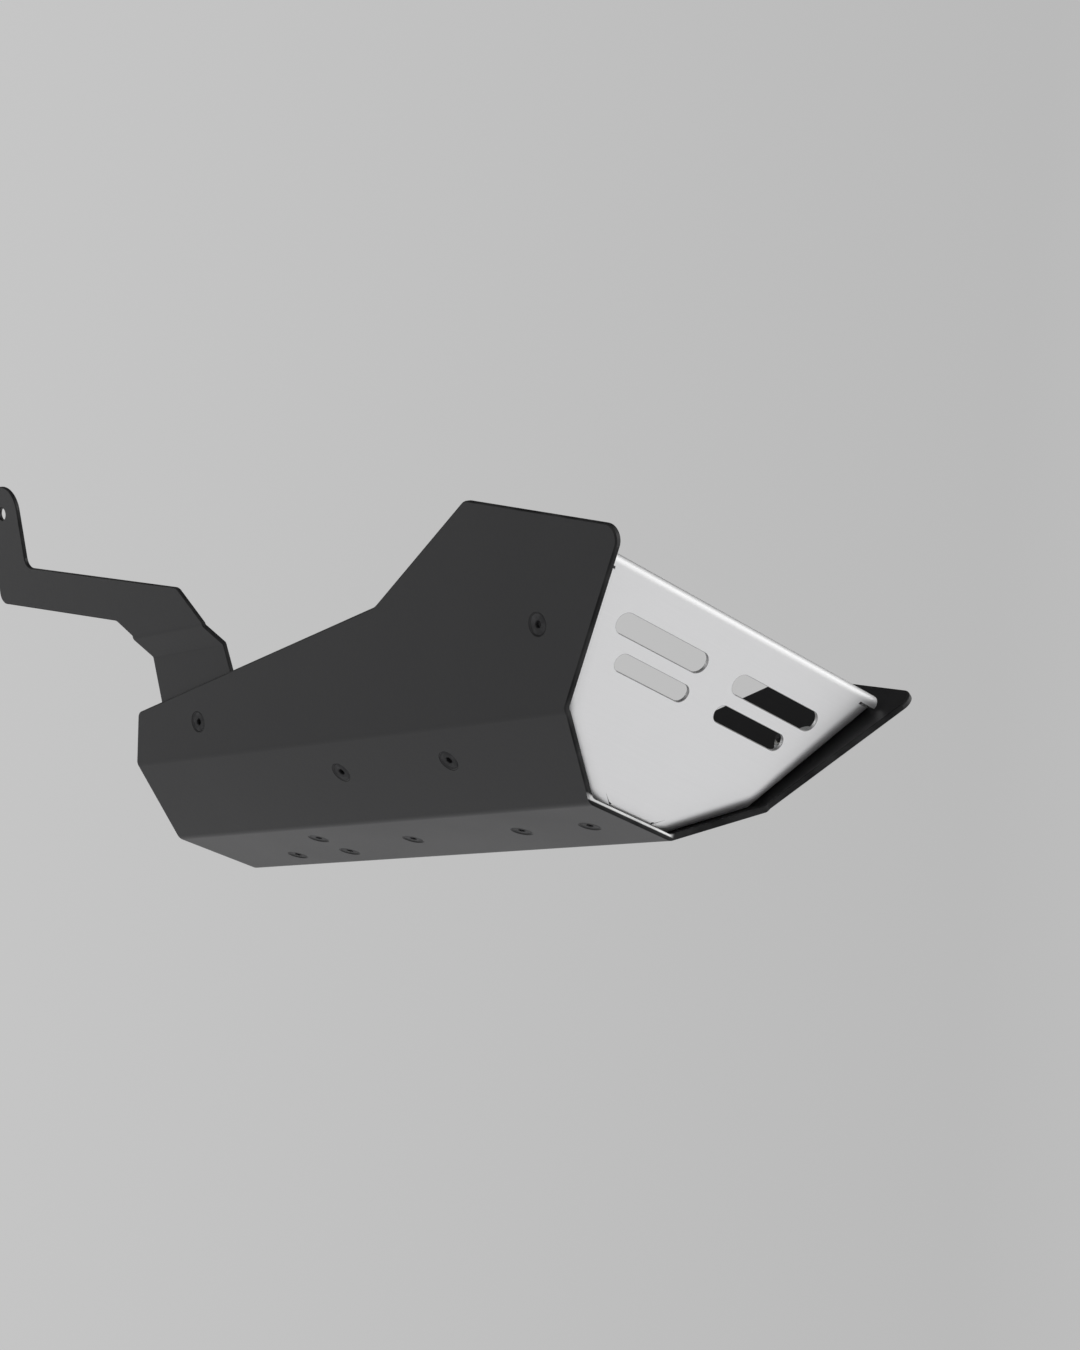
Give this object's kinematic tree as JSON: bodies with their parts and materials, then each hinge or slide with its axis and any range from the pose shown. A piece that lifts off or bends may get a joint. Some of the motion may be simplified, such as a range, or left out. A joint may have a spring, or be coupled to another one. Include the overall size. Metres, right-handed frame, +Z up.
{
  "type": "motorcycle engine spoiler",
  "caption": "Folded sheet belly pan for a motorcycle engine with a vented front plate, inner cross brackets, a sump bracket and joggled rear arms.",
  "frame": {"origin": "middle of the pan's flat underside, halfway along the floor's length", "axes": "+X to the front of the motorcycle, +Y to its left, +Z up"},
  "size_m": [0.5987, 0.369, 0.2135],
  "materials": {
    "pan_coat": "fine matte powder coat",
    "plate_metal": "brushed and anodised",
    "bracket_coat": "fine matte powder coat",
    "screw_black": "black oxide",
    "nut_steel": "zinc plated"
  },
  "bodies": {
    "root": {"belly_pan": "pan_coat", "front_plate": "plate_metal", "front_cross_bracket": "bracket_coat", "rear_cross_bracket": "bracket_coat", "sump_bracket": "bracket_coat", "rear_bracket_left": "bracket_coat", "rear_bracket_right": "bracket_coat", "front_cross_nuts": "nut_steel", "front_cross_screws": "screw_black", "front_cross_washers": "nut_steel", "plate_floor_nuts": "nut_steel", "plate_floor_screws": "screw_black", "plate_floor_washers": "nut_steel", "plate_side_nuts": "nut_steel", "plate_side_screws": "screw_black", "plate_side_washers": "nut_steel", "rear_bracket_nuts": "nut_steel", "rear_bracket_screws": "screw_black", "rear_bracket_washers": "nut_steel", "rear_cross_nuts": "nut_steel", "rear_cross_screws": "screw_black", "rear_cross_washers": "nut_steel", "sump_nuts": "nut_steel", "sump_screws": "screw_black", "sump_washers": "nut_steel"}
  },
  "joints": []
}
